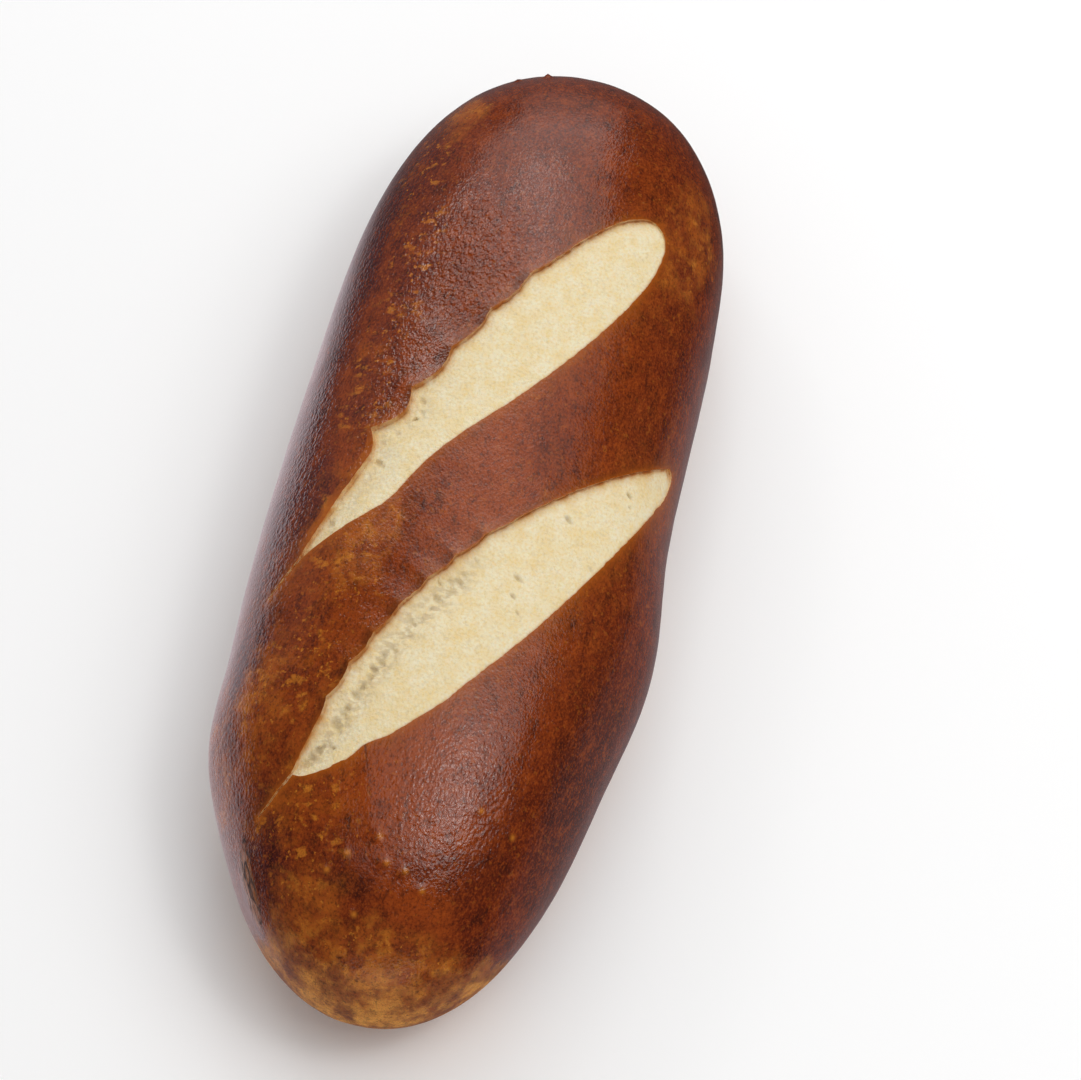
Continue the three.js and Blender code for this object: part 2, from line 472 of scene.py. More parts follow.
def slash_edges(tree, slash, along, length):
    """Offsets of the ear and the foot from the line from tip to tail, and the ear's opening and teeth."""
    share = along / length
    past = clamp((along - length) / CRACK_LENGTH)
    hairline = CRACK_HALF_WIDTH * (1 - past / 2)
    fray = noise(tree, vector(along, 0, 0), FRAY_SIZE, slash["Seed"], FRAY_DETAIL, FRAY_RAGGED)
    fray = fray * FRAY_DEPTH
    opening = lens(share, slash["Ear rise"], slash["Ear fall"])
    grown, depth, steep = teeth(slash, along)
    ear = -(slash["Ear reach"] * opening + grown * depth + hairline) + fray * (EAR_FRAY + opening)
    foot = slash["Foot reach"] * lens(share, slash["Foot rise"], slash["Foot fall"])
    foot = foot + wave(slash, "Bulge", along) - wave(slash, "Pinch", along)
    return ear, foot + hairline + fray * FOOT_FRAY, opening, grown, steep


def pores(tree, along, across, seed, crowd, web):
    """Pits in the crumb, drawn out across the slash, more where crowd nears 1 and wider in the web."""
    where = vector(along, across / PORE_STRETCH, seed)
    cells = put(tree, "ShaderNodeTexVoronoi", {"Vector": where, "Scale": 1 / PORE_CELL})
    chance, width, _ = parts(out(cells, "Color"))
    radius = between(width, *PORE_RADII) + PORE_WIDENING * web
    return ease(out(cells, "Distance") / radius, 1, PORE_FLOOR) * (chance < crowd)


def slash_group():
    """Cuts for one slash, worked out over the log, and its edges as fields over the crust."""
    tree = bpy.data.node_groups.new("Open a slash", "GeometryNodeTree")
    for title in ("Plain log", "Log"):
        tree.interface.new_socket(title, in_out="INPUT", socket_type="NodeSocketGeometry")
    slash = give_inputs(tree, SLASHES[0])
    tip_x, tip_y, _ = parts(slash["Tip"])
    tail_x, tail_y, _ = parts(slash["Tail"])
    length = ((tail_x - tip_x) ** 2 + (tail_y - tip_y) ** 2) ** 0.5
    way_x = (tail_x - tip_x) / length
    way_y = (tail_y - tip_y) / length

    x, y, _ = parts(position(tree))
    along = (x - tip_x) * way_x + (y - tip_y) * way_y
    across = (y - tip_y) * way_x - (x - tip_x) * way_y
    ear, foot, opening, grown, steep = slash_edges(tree, slash, along, length)
    past_ear = ear - across
    past_foot = across - foot
    past_ends = higher_of(-along, along - length - CRACK_LENGTH)
    lift = LIP_HEIGHT * opening**0.5 * between(grown, LIP_BETWEEN_TEETH, 1) * fade(past_ear, LIP_REACH)
    fields = {
        "Past": higher_of(higher_of(past_ear, past_foot), past_ends),
        "Past ear": past_ear,
        "Past foot": past_foot,
        "Steep": steep,
        "Lift": lift,
    }

    rows = {
        "Size": (1, 1, 1),
        "Vertices X": SLASH_ROWS_ALONG,
        "Vertices Y": SLASH_ROWS_ACROSS,
        "Vertices Z": 2,
    }
    block = out(put(tree, "GeometryNodeMeshCube", rows), "Mesh")
    block_x, block_y, block_z = parts(position(tree))
    run = (block_x + 0.5) * (length + CRACK_LENGTH)
    share = block_y + 0.5
    ear, foot, opening, _, _ = slash_edges(tree, slash, run, length)
    width = foot - ear
    from_ear = width * share
    from_foot = width * (1 - share)
    offset = ear + from_ear
    above = vector(
        tip_x + way_x * run - way_y * offset, tip_y + way_y * run + way_x * offset, ABOVE_THE_ROLL
    )
    drop = {"Source Position": above, "Ray Direction": (0, 0, -1)}
    landing = put(tree, "GeometryNodeRaycast", {"Target Geometry": slash["Log"], **drop})
    plain = put(tree, "GeometryNodeRaycast", {"Target Geometry": slash["Plain log"], **drop})
    web_place = lower_of(slash["Web place"], WEB_LIMIT * width)
    web_run = ease(run, slash["Web from"], slash["Web from"] + WEB_EASE)
    web = bell((from_ear - web_place) / WEB_SPREAD) * web_run
    hollow = bell((from_ear - web_place) / HOLLOW_SPREAD) * web_run
    foot_row = bell((from_foot - FOOT_ROW) / FOOT_ROW_SPREAD) * ease(run, *FOOT_ROW_RUN)
    crowd = clamp(STRAY_PORES + slash["Web share"] * web + FOOT_PORES * foot_row)
    pits = pores(tree, run, offset, slash["Seed"], crowd, web)
    grain = noise(tree, vector(run, offset, 0), CRUMB_GRAIN, slash["Seed"], detail=3) * CRUMB_RELIEF
    inset = clamp(lower_of(from_ear, from_foot) / PORE_MARGIN)
    depth = FOOT_DEPTH + EAR_DEPTH * fade(from_ear, EAR_REACH) + slash["Web depth"] * hollow
    depth = depth + inset * (pits * PORE_DEPTH + grain)
    depth = between(clamp(width / FULL_DEPTH_WIDTH), CRACK_DEPTH, depth)
    height = between(block_z > 0, -depth, CUT_CLEARANCE)
    kept = keep(keep(block, "pit", pits * inset), "web", hollow * inset * slash["Web share"])
    away = {
        "Geometry": kept,
        "Position": out(landing, "Hit Position"),
        "Offset": scaled(out(plain, "Hit Normal"), height),
    }
    cut = out(put(tree, "GeometryNodeSetPosition", away), "Geometry")

    tree.interface.new_socket("Cut", in_out="OUTPUT", socket_type="NodeSocketGeometry")
    for title in fields:
        tree.interface.new_socket(title, in_out="OUTPUT", socket_type="NodeSocketFloat")
    put(tree, "NodeGroupOutput", {"Cut": cut, **fields})
    return tree


def finished(geometry, material, where=True):
    inputs = {"Geometry": geometry, "Selection": where, "Material": material}
    return out(put(geometry.socket.id_data, "GeometryNodeSetMaterial", inputs), "Geometry")


def moved(geometry, amount):
    """The geometry with its points moved outwards."""
    tree = geometry.socket.id_data
    normal = out(put(tree, "GeometryNodeInputNormal"), "Normal")
    shift = {"Geometry": geometry, "Offset": scaled(normal, amount)}
    return out(put(tree, "GeometryNodeSetPosition", shift), "Geometry")


def roll_tree(crust, crumb):
    """The whole roll: the log with its ears lifted and its slashes cut, in crust and crumb."""
    tree = bpy.data.node_groups.new("Shape the roll", "GeometryNodeTree")
    tree.is_modifier = True
    size = give_inputs(tree, LOG_SIZES)
    plain = plain_log(tree, size)
    here = position(tree)
    _, _, height = parts(here)
    on_top = height > LOG_SIZES["Waist height"]
    swell = noise(tree, here, size["Dent size"], DENT_SEED) * size["Dent depth"]
    swell = swell + noise(tree, here, size["Wrinkle size"], WRINKLE_SEED) * size["Wrinkle depth"]
    log = moved(plain, swell * ease(height, 0, SOLE_EDGE))
    puckers = noise(tree, here, PUCKER_SIZE, PUCKER_SEED, detail=3)
    standing = blister(here) * BLISTER_HEIGHT * (1 + PUCKER * puckers) - fold(here) * on_top
    for places, radius, tall in (PIMPLES, PIMPLE_RADIUS, PIMPLE_HEIGHT), (NUBS, NUB_RADIUS, NUB_HEIGHT):
        for middle in places:
            standing = standing + tall * near(here, in_metres(middle), (radius, radius, radius))
    opened = slash_group()
    slashes = []
    for values in SLASHES:
        inputs = {"Plain log": plain, "Log": log, **values}
        slashes.append(put(tree, "GeometryNodeGroup", inputs, node_tree=opened))

    lift = sum(out(slash, "Lift") for slash in slashes) * on_top
    whole = {"Mesh 1": finished(moved(log, lift + standing), crust)}
    opening = put(tree, "GeometryNodeMeshBoolean", whole, operation="DIFFERENCE", solver="MANIFOLD")
    for slash in slashes:
        feed(opening.inputs["Mesh 2"], finished(out(slash, "Cut"), crumb))
    roll = out(opening, "Mesh")

    past = FARTHEST
    nearest = {"on_ear": 0, "from_ear": 0, "from_foot": 0, "steep": 0}
    for slash in slashes:
        nearer = out(slash, "Past") < past
        beside = {
            "on_ear": out(slash, "Past ear") > 0,
            "from_ear": higher_of(-out(slash, "Past ear"), 0),
            "from_foot": higher_of(-out(slash, "Past foot"), 0),
            "steep": out(slash, "Steep"),
        }
        for name, value in beside.items():
            nearest[name] = between(nearer, nearest[name], value)
        past = lower_of(past, out(slash, "Past"))
    roll = keep(roll, "away", between(on_top, FARTHEST, past))
    for name, value in nearest.items():
        roll = keep(roll, name, value)

    smooth = put(tree, "GeometryNodeSetShadeSmooth", {"Geometry": roll})
    bent = out(put(tree, "GeometryNodeInputMeshEdgeAngle"), "Unsigned Angle") > CRISP_ANGLE
    crisp = {"Geometry": out(smooth, "Geometry"), "Selection": bent, "Shade Smooth": False}
    roll = out(put(tree, "GeometryNodeSetShadeSmooth", crisp, domain="EDGE"), "Geometry")
    roll = out(put(tree, "GeometryNodeRealizeInstances", {"Geometry": roll}), "Geometry")
    inside = put(tree, "GeometryNodeMaterialSelection", {"Material": crumb})
    roll = finished(roll, crumb, out(inside, "Selection"))
    tree.interface.new_socket("Geometry", in_out="OUTPUT", socket_type="NodeSocketGeometry")
    put(tree, "NodeGroupOutput", {"Geometry": roll})
    return tree


# The crust's finish
# A dip in lye before baking gives the skin its deep mahogany brown and its shine. It is mottled, pebbled
# and wrinkled in places, orange where it is thin or beside a slash, and golden where it met the sheet.
# Shade is also painted into the skin: below the near cap's shine, on the right flank, under the ears'
# lips, in the fold and in the blister's cracks. The left flank has painted shade and a painted lilac
# reflection, the blister a painted sheen, and the golden rim painted bounce light from the table.
MAHOGANY = (104, 36, 9)
CHESTNUT = (142, 60, 16)
UMBER = (60, 19, 8)
# scorched brown for the mottle and grit, and also painted shade under the ears' lips, in the fold line
# and in the blister's cracks
SCORCH_AND_SHADE = (34, 10, 6)
AMBER = (164, 84, 16)
OCHRE = (196, 118, 34)
# golden crust where it met the sheet, made brighter as painted bounce light from the table
GOLD_AND_BOUNCE_LIGHT = (236, 160, 56)
PALE_SKIN_AND_SHEEN = (172, 118, 78)
RUSSET = (154, 70, 20)
# painted shade and a painted lilac reflection, laid dark and purple on the left flank
SHADE_AND_LILAC_SHEEN = (66, 20, 26)
EVEN = (1, 1, 1)
GRAIN_STRETCH = (1.3, 1, 1)  # the skin's grain runs along the roll
STREAK_STRETCH = (2, 1, 1)
FRECKLE_STRETCH = (1, 1.5, 1.5)
SKIN_PATCHES = {  # size, seed, noise where a patch starts and is full, detail, raggedness and stretch
    "clouds": (12 * MM, 1, -0.15, 0.15, 6, 0.6, EVEN),
    "marbling": (4 * MM, 4, -0.15, 0.15, 5, 0.6, EVEN),
    "fleck": (0.9 * MM, 5, 0.11, 0.18, 3, 0.5, EVEN),
    "speck": (1.5 * MM, 6, 0.08, 0.18, 5, 0.6, EVEN),
    "grain": (0.38 * MM, 7, -0.3, 0.3, 1, 0.6, GRAIN_STRETCH),
    "blotch": (2.6 * MM, 9, -0.03, 0.17, 5, 0.6, EVEN),
    "mottle": (2 * MM, 10, -0.25, 0.25, 7, 0.78, STREAK_STRETCH),
    "glaze": (9 * MM, 11, -0.3, 0.2, 4, 0.5, EVEN),
    "pebbles": (0.7 * MM, 12, -0.3, 0.3, 1, 0.5, GRAIN_STRETCH),
    "creases": (2.4 * MM, 13, -0.3, 0.3, 2, 0.5, EVEN),
    "smoke": (7 * MM, 16, -0.2, 0.2, 5, 0.6, EVEN),
    "grit": (0.42 * MM, 19, -0.25, 0.25, 2, 0.7, GRAIN_STRETCH),
    "freckle": (1.8 * MM, 21, 0.06, 0.16, 4, 0.55, FRECKLE_STRETCH),
    "freckle ground": (3.2 * MM, 23, 0, 0.16, 6, 0.65, FRECKLE_STRETCH),
    "broken rim": (2.4 * MM, 28, 0, 0.12, 3, 0.5, EVEN),
}
THIN_PLACES = (  # middle and reach, in millimetres, of the skin that baked thin and orange
    ((-58, 26, 39), (13, 7, 12)),
    ((-74, -19, 39), (8, 5, 7)),
    ((18, -15, 46), (12, 7, 8)),
    ((50, -26, 38), (14, 6, 7)),
    ((82, -10, 35), (6, 8, 8)),
    ((90, 3, 28), (9, 24, 11)),
    ((60, -31.5, 27), (20, 5, 7)),
)
FRECKLED_PLACES = (  # of the skin that is freckled orange
    ((-62, -23, 40), (14, 6, 9)),
    ((-38, -20, 44), (16, 6, 9)),
    ((-14, -21, 45), (16, 6, 9)),
    ((20, -17, 45), (16, 9, 9)),
    ((44, -20, 42), (14, 10, 9)),
    ((70, -14, 40), (12, 12, 9)),
)
FLAKE_PLACES = (  # of the stretch of ear where a torn layer shows below the skin
    ((4, -16, 47), (10, 6, 8)),
    ((17, -22, 43), (10, 5, 8)),
)
SHADED_PLACES = (  # of the skin painted darker where shade falls, below the near cap's shine and on the right flank: painted shade
    ((79.5, -3, 38.5), (2.5, 5, 5)),
    ((50, 30, 31), (34, 7, 10)),
)
PAINTED_SHADE_AND_LILAC_PLACES = (  # of the left flank, painted dark and purple: painted shade and a painted lilac reflection
    ((-40, -30, 36), (34, 6, 9)),
    ((4, -31, 36), (30, 5, 8)),
    ((12, -26, 41), (14, 4, 6)),
    ((40, -30, 36), (22, 4, 7)),
    ((72, -19, 34), (12, 6, 7)),
)
RUDDY_PLACES = (  # of the skin that baked red
    ((62, 4, 44), (17, 17, 10)),
    ((4, 4, 49), (22, 10, 9)),
    ((80, 8, 37), (6, 9, 6)),
)
PEBBLED_PLACES = (  # of the skin that is pebbled
    ((64, 10, 43), (14, 14, 8)),
    ((-40, -25, 40), (34, 8, 10)),
    ((-8, -19, 46), (22, 6, 8)),
    ((10, -28, 38), (34, 6, 10)),
    ((64, -29, 30), (22, 7, 11)),
)
WRINKLED_PLACES = (((-40, -9, 48), (15, 9, 8)),)  # of the skin that is rougher still
SKIN_SPOTS = {  # places, and the seed, size and raggedness of their broken edges
    "thin spots": (THIN_PLACES, 3, 6 * MM, 1.2),
    "freckled": (FRECKLED_PLACES, 22, 6 * MM, 1.2),
    "flaking": (FLAKE_PLACES, 17, 6 * MM, 1.2),
    "dark": (SHADED_PLACES, 2, 9 * MM, 0.8),
    "painted shade and lilac": (PAINTED_SHADE_AND_LILAC_PLACES, 20, 9 * MM, 0.8),
    "ruddy spots": (RUDDY_PLACES, 15, 6 * MM, 1.2),
}
SPOT_DETAIL = 4
SPOT_EDGE = (0.2, 0.8)  # from outside a spot to inside it
SOFT_EDGE = (0.1, 0.8)
SKIN_STAINS = (  # tint, where it lies, the mask that steers it, and its share where that is 0 and is 1
    (CHESTNUT, "ruddy", "clouds", 0.6, 1.3),
    # painted shade below the near cap's shine and on the right flank
    (UMBER, "dark", "clouds", 0.75, 0.45),
    # painted shade and lilac reflection on the left flank
    (SHADE_AND_LILAC_SHEEN, "painted shade and lilac", "clouds", 1, 0.75),
    (UMBER, "smoke", "thin or ruddy", 0.4, 0.08),
    (AMBER, "thin", "marbling", 0.15, 0.95),
    (OCHRE, "thin", "blotch", 0, 0.75),
    # painted shade and lilac reflection between the freckles on the far left
    (SHADE_AND_LILAC_SHEEN, "far freckled", "freckle ground", 0.4, 0),
    (AMBER, "freckled", "freckle ground", 0, 0.5),
    (OCHRE, "freckled", "freckle", 0, 0.7),
    (OCHRE, "fleck", "thin or freckled", 0.16, 0.8),
    # golden rim, partly painted bounce light from the table
    (GOLD_AND_BOUNCE_LIGHT, "low", "marbling", 0.2, 1),
    (CHESTNUT, "low smoke", "marbling", 0.8, 0),
    (MAHOGANY, "thin smoke", "low", 0.7, 0.42),
    (UMBER, "speck", "thin", 0.05, 0.45),
    (SCORCH_AND_SHADE, "dark mottle", "thin", 0.75, 0.4),
    (RUSSET, "everywhere", "light mottle", 0, 0.6),
    (SCORCH_AND_SHADE, "everywhere", "dark grit", 0, 0.5),
    (RUSSET, "everywhere", "light grit", 0, 0.5),
    (OCHRE, "everywhere", "pimples", 0, 0.75),
    (AMBER, "everywhere", "foot edge", 0, 0.8),
    (AMBER, "flake", "marbling", 0.3, 0.75),
    # painted shade under the ears' lips, darkest on the teeth's steep sides, over a scorched edge
    (SCORCH_AND_SHADE, "everywhere", "lip", 0, 1),
    (AMBER, "ear edge", "steep", 0.63, 0.245),
    # painted shade in the crease of the fold
    (SCORCH_AND_SHADE, "everywhere", "fold line", 0, 0.6),
    # paler skin on the blister, partly a painted sheen
    (PALE_SKIN_AND_SHEEN, "everywhere", "blister", 0, 0.45),
    # painted shade in the blister's cracks and around its rim
    (SCORCH_AND_SHADE, "everywhere", "cracks", 0, 0.9),
)
NEAR_TIP = (68 * MM, 98 * MM)  # along the roll, from its body to its golden tip
TIP_RAGGED = 7 * MM
RIM_TOPS = (11 * MM, 40 * MM)  # height of the golden rim's upper edge along the body and at the tip
RIM_FULL = (3 * MM, 15 * MM)  # and the height below which it is all golden
LOW_THIN = 0.8
EDGE_THIN = 0.25
EDGE_THIN_REACH = 5 * MM
CROWN = (35 * MM, 45 * MM)
RUDDY_RUN = (-80 * MM, -10 * MM)
RUDDY_CROWN = (0.3, 0.55)  # how red the crown is at the start and the end of that run
RUDDY_SPOTS = 0.9
FAR_FRECKLES = (20 * MM, -5 * MM)
THICK_SMOKE = (0.45, 0.9)
PIMPLE_TIP = (0.5, 0.5, 0.5)  # in millimetres
FOOT_EDGE = 0.9 * MM
EAR_EDGE = 0.6 * MM
FLAKE_EDGE = (1.8 * MM, 1.44 * MM)
LIP_WIDTHS = (1.6 * MM, 2.4 * MM)  # of the dark lip, scorched and with painted shade under the ear, along a lobe and on its steep side
LIP_SCORCH_AND_SHADE = (0.55, 0.2)
STEEP_SCORCH_AND_SHADE = 0.6
FOLD_LINE = 0.22 * MM
FOLD_LINE_START = 2 * MM
FOLD_LINE_LENGTH = 9 * MM
CRACK_SIZE = 1.6 * MM
CRACK_STRETCH = 5
CRACK_SEED = 18
CRACK_SHARE = 0.06
BLISTER_EDGE = (0.25, 0.6)
BLISTER_RIM = 0.35
BLISTER_RIM_SPREAD = 0.06
GLAZED_ROUGHNESS = (0.18, 0.1)
THIN_ROUGHNESS = 0.22
DULL_ROUGHNESS = 0.6
WRINKLED_GLOSS = 0.7
CRUST_SPECULAR = 0.5
GRAIN_HEIGHT = 0.03 * MM
CREASE_HEIGHT = 0.03 * MM
PEBBLE_HEIGHT = 0.02 * MM
PEBBLED_HEIGHT = 0.09 * MM
WRINKLED_HEIGHT = 0.15 * MM
MIX_SHARE, MIX_FIRST, MIX_SECOND, MIX_RESULT = 0, 6, 7, 2


def colour(red, green, blue):
    """The linear colour of a shader from a screen colour, each part from 0 to 255."""
    shares = [part / 255 for part in (red, green, blue)]
    return tuple(((share + 0.055) / 1.055) ** 2.4 for share in shares) + (1,)


def stained(base, stains, mask):
    """A base colour with stains laid over it in turn, each where its masks say."""
    paint = colour(*base)
    for tint, where, steered, start, end in stains:
        share = mask[where] * between(mask[steered], start, end)
        inputs = {MIX_SHARE: share, MIX_FIRST: paint, MIX_SECOND: colour(*tint)}
        node = put(share.socket.id_data, "ShaderNodeMix", inputs, data_type="RGBA")
        paint = Term(node.outputs[MIX_RESULT])
    return paint


def new_effect(name, numbers, places):
    """An empty shader group that gives a mask, and its inputs as terms."""
    tree = bpy.data.node_groups.new(name, "ShaderNodeTree")
    for title in numbers:
        tree.interface.new_socket(title, in_out="INPUT", socket_type="NodeSocketFloat")
    for title in places:
        tree.interface.new_socket(title, in_out="INPUT", socket_type="NodeSocketVector")
    tree.interface.new_socket("Mask", in_out="OUTPUT", socket_type="NodeSocketFloat")
    given = tree.nodes.new("NodeGroupInput")
    return tree, {socket.name: Term(socket) for socket in given.outputs if socket.name}


def on_piece(tree):
    return out(put(tree, "ShaderNodeTexCoord"), "Object")


def patches_group():
    """Soft patches over a surface, where noise of the given size has passed from Start to End."""
    numbers = ("Size", "Detail", "Ragged", "Seed", "Start", "End")
    tree, given = new_effect("Patches", numbers, ("Stretch",))
    where = on_vectors("DIVIDE", on_piece(tree), given["Stretch"])
    cloud = noise(tree, where, given["Size"], given["Seed"], given["Detail"], given["Ragged"])
    put(tree, "NodeGroupOutput", {"Mask": ease(cloud, given["Start"], given["End"])})
    return tree


def ragged_group():
    """A soft mask with its edge broken up by noise of the given size."""
    tree, given = new_effect("Ragged edge", ("Inside", "Size", "Seed", "Ragged"), ())
    cloud = noise(tree, on_piece(tree), given["Size"], given["Seed"], SPOT_DETAIL) * given["Ragged"]
    put(tree, "NodeGroupOutput", {"Mask": ease(given["Inside"] + cloud, *SPOT_EDGE)})
    return tree


PATCHES = patches_group()
RAGGED_EDGE = ragged_group()


def patches(tree, size, seed, start, end, detail, ragged, stretch):
    inputs = {
        "Size": size,
        "Detail": detail,
        "Ragged": ragged,
        "Seed": seed,
        "Start": start,
        "End": end,
        "Stretch": stretch,
    }
    return out(put(tree, "ShaderNodeGroup", inputs, node_tree=PATCHES), "Mask")


def square_away(here, middle, reach):
    """How many reaches a point lies away from the middle of a place, squared."""
    scale = [1 / part for part in reach]
    shift = [-part / full for part, full in zip(middle, reach)]
    inputs = {0: here, 1: scale, 2: shift}
    node = put(here.socket.id_data, "ShaderNodeVectorMath", inputs, operation="MULTIPLY_ADD")
    away = out(node, "Vector")
    return on_vectors("DOT_PRODUCT", away, away, "Value")


def around(tree, places):
    """1 at the middle of each of the places, given in millimetres, falling away over its reach."""
    here = on_piece(tree)
    squares = [square_away(here, in_metres(middle), in_metres(reach)) for middle, reach in places]
    least = squares[0]
    for square in squares[1:]:
        least = lower_of(least, square)
    return calculate("EXPONENT", -least)


def spots(tree, places, seed, size, ragged):
    """Soft spots with ragged edges around all the places, as one mask."""
    inputs = {"Inside": around(tree, places), "Size": size, "Seed": seed, "Ragged": ragged}
    return out(put(tree, "ShaderNodeGroup", inputs, node_tree=RAGGED_EDGE), "Mask")


def attribute(tree, name):
    return out(put(tree, "ShaderNodeAttribute", attribute_name=name), "Fac")


def new_finish(name):
    material = bpy.data.materials.new(name)
    material.use_nodes = True
    return material, material.node_tree, material.node_tree.nodes["Principled BSDF"]


def break_shine(shader, relief):
    """Breaks up a finish's shine with a fine relief, given in metres."""
    bump = put(shader.id_data, "ShaderNodeBump", {"Distance": 1, "Height": relief})
    feed(shader.inputs["Normal"], out(bump, "Normal"))


def upper_half(mask):
    return ease(mask, 0.5, 1)


def lower_half(mask):
    return ease(mask, 0.5, 0)


def blister_marks(tree, broken):
    """The blister's pale skin, partly a painted sheen, and its cracks and rim, with shade painted into
    them.
    """
    here = on_piece(tree)
    run = on_vectors("DOT_PRODUCT", here, BLISTER_RUN, "Value")
    beside = on_vectors("DOT_PRODUCT", here, BLISTER_ACROSS, "Value")
    torn = noise(tree, vector(run / CRACK_STRETCH, beside, 0), CRACK_SIZE, CRACK_SEED, detail=3)
    raised = blister(here) + torn
    pale = ease(raised, *BLISTER_EDGE)
    rim = bell((raised - BLISTER_RIM) / BLISTER_RIM_SPREAD) * broken
    return pale, higher_of(ease(abs(torn), CRACK_SHARE, 0) * pale, rim)


def fold_line(here, along):
    """1 on the line from which the fold runs, fading along it, with shade painted into the crease."""
    starts = ease(along, FOLD_START.x - FOLD_LINE_START, FOLD_START.x)
    ends = ease(along, FOLD_START.x + FOLD_LINE_LENGTH, FOLD_START.x)
    return bell(past_fold(here) / FOLD_LINE) * starts * ends


def skin_masks(tree):
    """Every mask that the crust's colour, gloss and relief are made from, by its name."""
    here = on_piece(tree)
    along, _, height = parts(here)
    away = higher_of(attribute(tree, "away"), 0)
    on_ear = attribute(tree, "on_ear")
    steep = attribute(tree, "steep")
    mask = {name: patches(tree, *values) for name, values in SKIN_PATCHES.items()}
    for name, values in SKIN_SPOTS.items():
        mask[name] = spots(tree, *values)
    tip = ease(along + between(mask["clouds"], -TIP_RAGGED, TIP_RAGGED), *NEAR_TIP)
    low = ease(height, between(tip, *RIM_TOPS), between(tip, *RIM_FULL))
    thin = clamp(mask["thin spots"] + LOW_THIN * low + EDGE_THIN * fade(away, EDGE_THIN_REACH))
    ruddy = between(ease(along, *RUDDY_RUN), *RUDDY_CROWN) * ease(height, *CROWN)
    ruddy = higher_of(ruddy, RUDDY_SPOTS * mask["ruddy spots"])
    flake = mask["flaking"] * on_ear * ease(away, *FLAKE_EDGE)
    lip = ease(away, between(steep, *LIP_WIDTHS), 0) * on_ear * (1 - flake)
    pale, cracks = blister_marks(tree, mask["broken rim"])
    return {
        **mask,
        "everywhere": 1,
        "low": low,
        "thin": thin,
        "ruddy": ruddy,
        "thin or ruddy": higher_of(thin, ruddy),
        "thin or freckled": higher_of(thin, mask["freckled"]),
        "far freckled": mask["freckled"] * ease(along, *FAR_FRECKLES),
        "low smoke": low * mask["smoke"],
        "thin smoke": thin * ease(mask["smoke"], *THICK_SMOKE),
        "dark mottle": upper_half(mask["mottle"]),
        "light mottle": lower_half(mask["mottle"]),
        "dark grit": upper_half(mask["grit"]),
        "light grit": lower_half(mask["grit"]),
        "pimples": around(tree, [(middle, PIMPLE_TIP) for middle in PIMPLES]),
        "foot edge": fade(away, FOOT_EDGE) * (1 - on_ear),
        "ear edge": fade(away, EAR_EDGE) * on_ear,
        "steep": steep,
        "flake": flake,
        "lip": lip * between(steep, between(mask["marbling"], *LIP_SCORCH_AND_SHADE), STEEP_SCORCH_AND_SHADE),
        "fold line": fold_line(here, along),
        "blister": pale,
        "cracks": cracks,
        "pebbled": ease(around(tree, PEBBLED_PLACES), *SOFT_EDGE),
        "wrinkled": ease(around(tree, WRINKLED_PLACES), *SOFT_EDGE),
    }


def crust_finish():
    material, tree, shader = new_finish("baked crust")
    mask = skin_masks(tree)
    feed(shader.inputs["Base Color"], stained(MAHOGANY, SKIN_STAINS, mask))
    rough = between(mask["thin"], between(mask["glaze"], *GLAZED_ROUGHNESS), THIN_ROUGHNESS)
    rough = rough * between(mask["wrinkled"], 1, WRINKLED_GLOSS)
    rough = between(mask["cracks"], rough, DULL_ROUGHNESS)
    feed(shader.inputs["Roughness"], between(mask["low"], rough, DULL_ROUGHNESS))
    shader.inputs["Specular IOR Level"].default_value = CRUST_SPECULAR
    pebbled = between(mask["pebbled"], PEBBLE_HEIGHT, PEBBLED_HEIGHT)
    pebble_height = between(mask["wrinkled"], pebbled, WRINKLED_HEIGHT)
    relief = mask["grain"] * GRAIN_HEIGHT + mask["creases"] * CREASE_HEIGHT
    break_shine(shader, relief + mask["pebbles"] * pebble_height)
    return material


# The crumb's finish
# Crumb that welled up through a slash never met the dip, so it stays cream, with buttery patches and grey
# grains. It is toasted where it meets the crust, with shade painted into its pits and the web of open
# pores, and it is dull and slightly see-through.
CREAM = (233, 222, 190)
BUTTER = (228, 194, 118)
TOAST = (168, 94, 34)
CRUST_SIDE = (208, 156, 84)
GREY_AND_PORE_SHADE = (198, 178, 142)
PIT_SHADE = (166, 144, 104)
FIBRE_STRETCH = (1, 2.5, 1)  # the torn threads of the crumb run across the roll
CRUMB_PATCHES = {  # size, seed, noise where a patch starts and is full, detail, raggedness and stretch
    "butter": (3 * MM, 21, -0.15, 0.2, 6, 0.5, EVEN),
    "butter grains": (0.5 * MM, 22, -0.1, 0.2, 4, 0.5, EVEN),
    "grain": (0.6 * MM, 23, -0.3, 0.3, 3, 0.5, EVEN),
    "toasted": (2.5 * MM, 24, -0.15, 0.15, 4, 0.5, EVEN),
    "fibres": (0.9 * MM, 25, -0.04, 0.1, 3, 0.5, FIBRE_STRETCH),
    "grey grains": (0.6 * MM, 26, 0.02, 0.2, 4, 0.5, EVEN),
    "broken": (0.9 * MM, 27, -0.12, 0.12, 3, 0.5, EVEN),
}
CRUMB_STAINS = (  # tint, where it lies, the mask that steers it, and its share where that is 0 and is 1
    (BUTTER, "everywhere", "butter", 0, 0.45),
    (BUTTER, "everywhere", "butter grains", 0, 0.5),
    (GREY_AND_PORE_SHADE, "everywhere", "grey grains", 0, 0.3),
    # painted shade in the hollows of the web of open pores
    (GREY_AND_PORE_SHADE, "web", "fibres", 0, 0.8),
    # painted shade in the pits
    (PIT_SHADE, "everywhere", "pit", 0, 0.5),
    (CRUST_SIDE, "below the ear", "toasted", 0.25, 1),
    (TOAST, "ear edge", "toasted", 0.5, 1),
    (TOAST, "foot edge", "wide", 0, 0.8),
    (TOAST, "narrow", "broken", 0.25, 0.95),
)
